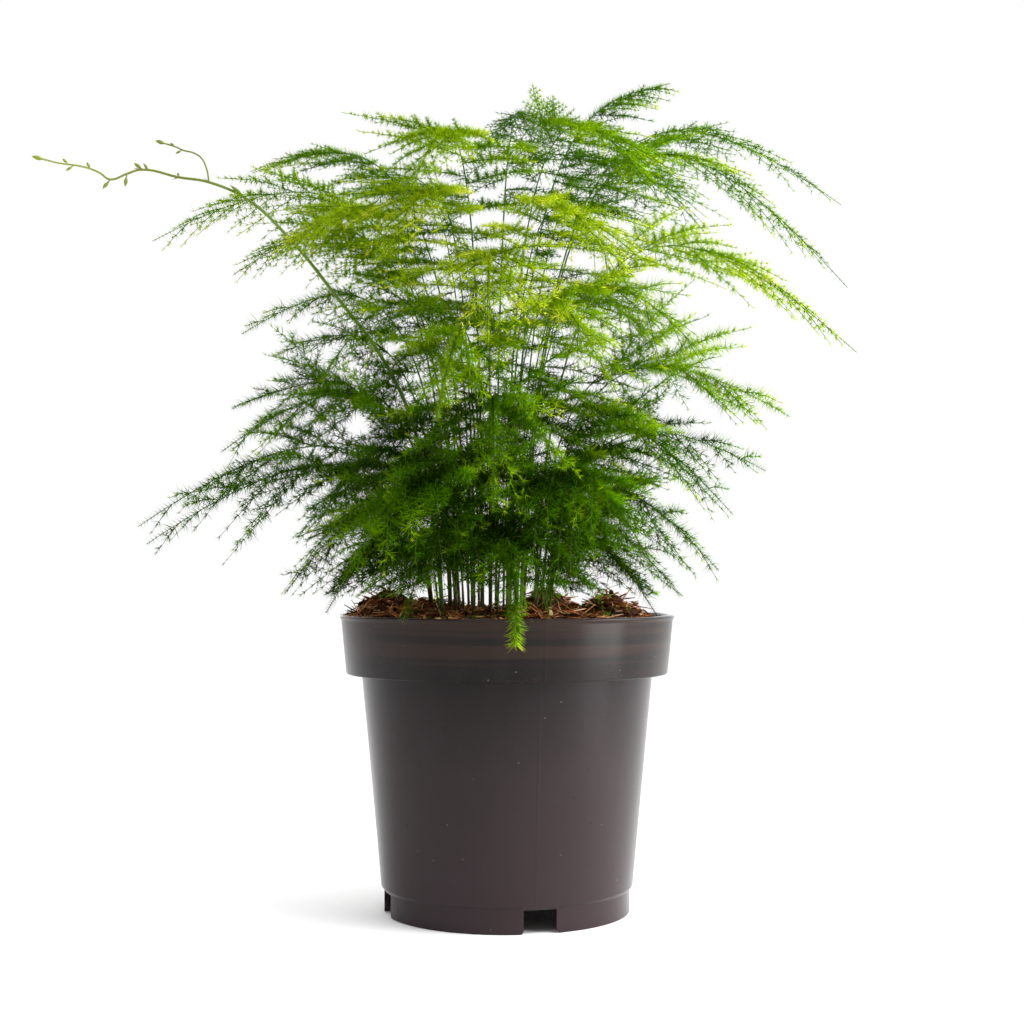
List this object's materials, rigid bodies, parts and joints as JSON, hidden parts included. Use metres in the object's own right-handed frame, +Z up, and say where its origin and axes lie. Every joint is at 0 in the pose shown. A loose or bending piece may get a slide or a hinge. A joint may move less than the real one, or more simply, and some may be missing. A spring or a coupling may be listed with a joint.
{
  "type": "potted lace fern",
  "caption": "Lace fern with flat feathery plumes on arching wiry stems and one bare young shoot, in a plain tapered nursery pot with a deep collar.",
  "frame": {"origin": "on the plane that the pot's foot ring stands on, under the middle of the whole plant's box; the pot's own axis lies 22.7 mm from it towards +X and 5.7 mm towards -Y", "axes": "+Z up along the pot's axis, +X to the right as seen from the front, the side that the picture shows, and +Y to the back; the bare young shoot reaches towards -X"},
  "size_m": [0.2974, 0.1824, 0.3038],
  "materials": {
    "pot_plastic": "satin moulded polypropylene, dark taupe brown",
    "peat": "crumbly brown peat with orange-brown wood fibres",
    "foliage": "soft matt green needles on wiry stems",
    "young_growth": "smooth yellow-green young stem and buds"
  },
  "bodies": {
    "root": {"pot": "pot_plastic", "soil": "peat", "top_plume": "foliage", "high_right_whip": "foliage", "high_right_arch": "foliage", "high_left_plume": "foliage", "high_left_arch": "foliage", "high_back_plume": "foliage", "high_front_plume": "foliage", "high_front_right": "foliage", "high_back_left": "foliage", "high_back_right": "foliage", "mid_right_bright": "foliage", "mid_left_long": "foliage", "mid_left_bright": "foliage", "mid_left_slim": "foliage", "mid_back_left": "foliage", "mid_back_right": "foliage", "mid_front_right": "foliage", "mid_front_left": "foliage", "low_right_fan": "foliage", "low_right_dark": "foliage", "low_left_fine": "foliage", "low_left_dusty": "foliage", "low_left_fan": "foliage", "low_back_fan": "foliage", "base_left_sweep": "foliage", "base_left_low": "foliage", "base_left_droop": "foliage", "base_right_sweep": "foliage", "base_right_droop": "foliage", "base_right_low": "foliage", "front_hanging": "foliage", "front_left_low": "foliage", "front_right_low": "foliage", "back_left_low": "foliage", "back_right_low": "foliage", "upper_front_left": "foliage", "upper_front_right": "foliage", "middle_front": "foliage", "middle_front_right": "foliage", "middle_front_left": "foliage", "inner_front": "foliage", "inner_front_left": "foliage", "inner_front_right": "foliage", "inner_left": "foliage", "inner_right": "foliage", "inner_back_left": "foliage", "inner_back_right": "foliage", "base_front_left": "foliage", "base_front_right": "foliage", "base_left_inner": "foliage", "base_right_inner": "foliage", "young_shoot": "young_growth"}
  },
  "joints": []
}
